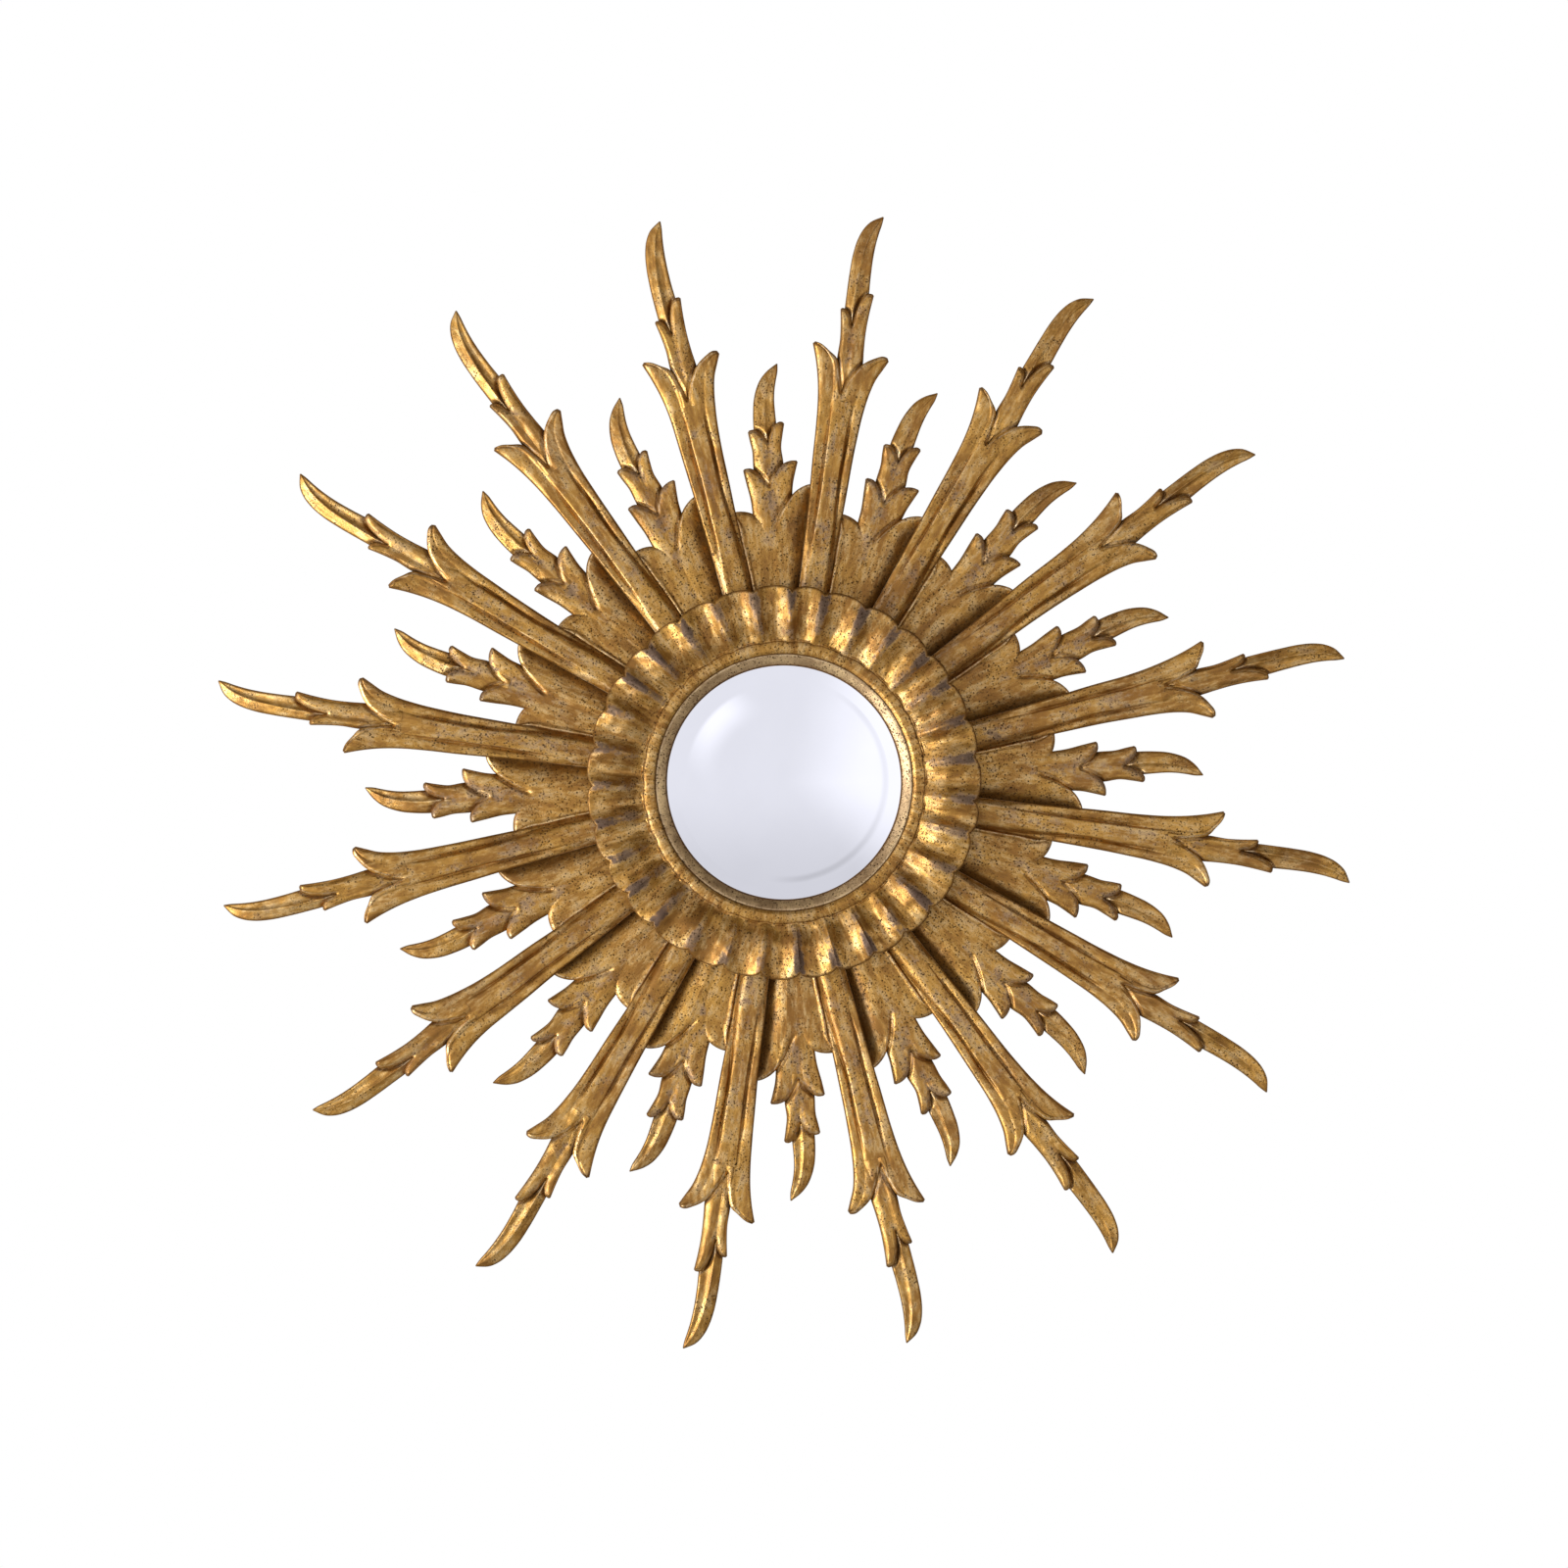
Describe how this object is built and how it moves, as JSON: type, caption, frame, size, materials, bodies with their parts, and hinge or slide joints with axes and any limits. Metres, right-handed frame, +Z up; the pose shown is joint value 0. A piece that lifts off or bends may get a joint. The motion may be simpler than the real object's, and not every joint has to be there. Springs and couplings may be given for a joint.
{
  "type": "starburst mirror",
  "caption": "Round convex wall mirror in a fluted gilt ring, with long and short carved rays that end in hooked flame tips, and a swinging hanger ring and turn buttons behind.",
  "frame": {"origin": "on the mirror's axis, in the plane of the wall that the felt pads rest on", "axes": "+Z up, +Y into the wall, so the glass faces -Y, and +X to the right seen from the front"},
  "size_m": [0.9042, 0.063, 0.9042],
  "materials": {
    "gilded_wood": "carved softwood, gilded over brown bole, worn and speckled",
    "slip_gilt": "turned wood with a greyish gilt face",
    "mirror": "convex glass, silvered behind",
    "board": "birch plywood, stained brown",
    "hardboard": "tempered hardboard",
    "softwood": "plain softwood",
    "felt": "black felt",
    "brass": "dull brass",
    "steel": "zinc-plated steel"
  },
  "bodies": {
    "mirror": {"long_ray_01": "gilded_wood", "long_ray_02": "gilded_wood", "long_ray_03": "gilded_wood", "long_ray_04": "gilded_wood", "long_ray_05": "gilded_wood", "long_ray_06": "gilded_wood", "long_ray_07": "gilded_wood", "long_ray_08": "gilded_wood", "long_ray_09": "gilded_wood", "long_ray_10": "gilded_wood", "long_ray_11": "gilded_wood", "long_ray_12": "gilded_wood", "long_ray_13": "gilded_wood", "long_ray_14": "gilded_wood", "long_ray_15": "gilded_wood", "long_ray_16": "gilded_wood", "short_ray_01": "gilded_wood", "short_ray_02": "gilded_wood", "short_ray_03": "gilded_wood", "short_ray_04": "gilded_wood", "short_ray_05": "gilded_wood", "short_ray_06": "gilded_wood", "short_ray_07": "gilded_wood", "short_ray_08": "gilded_wood", "short_ray_09": "gilded_wood", "short_ray_10": "gilded_wood", "short_ray_11": "gilded_wood", "short_ray_12": "gilded_wood", "short_ray_13": "gilded_wood", "short_ray_14": "gilded_wood", "short_ray_15": "gilded_wood", "short_ray_16": "gilded_wood", "fluted_ring": "gilded_wood", "slip_ring": "slip_gilt", "mirror_glass": "mirror", "backboard": "board", "back_cover": "hardboard", "glass_spacer": "softwood", "glass_gasket": "felt", "wall_bumpers": "felt", "turn_button_screws": "brass", "hanger_strap": "steel", "hanger_screws": "steel", "ray_screws": "steel", "ring_screws": "steel"},
    "hanger_ring_body": {"hanger_ring": "steel"},
    "turn_button_1_body": {"turn_button_1": "brass"},
    "turn_button_2_body": {"turn_button_2": "brass"},
    "turn_button_3_body": {"turn_button_3": "brass"},
    "turn_button_4_body": {"turn_button_4": "brass"}
  },
  "joints": [
    {"name": "hanger_ring_swing", "type": "hinge", "parent": "mirror", "child": "hanger_ring_body", "pos_m": [0, -0.004, 0.146], "axis": [-1, 0, 0], "range_deg": [0, 194]},
    {"name": "turn_button_1_swivel", "type": "hinge", "parent": "mirror", "child": "turn_button_1_body", "pos_m": [0.07637, -0.007, 0.07637], "axis": [0, 1, 0], "continuous": true},
    {"name": "turn_button_2_swivel", "type": "hinge", "parent": "mirror", "child": "turn_button_2_body", "pos_m": [0.07637, -0.007, -0.07637], "axis": [0, 1, 0], "continuous": true},
    {"name": "turn_button_3_swivel", "type": "hinge", "parent": "mirror", "child": "turn_button_3_body", "pos_m": [-0.07637, -0.007, -0.07637], "axis": [0, 1, 0], "continuous": true},
    {"name": "turn_button_4_swivel", "type": "hinge", "parent": "mirror", "child": "turn_button_4_body", "pos_m": [-0.07637, -0.007, 0.07637], "axis": [0, 1, 0], "continuous": true}
  ]
}
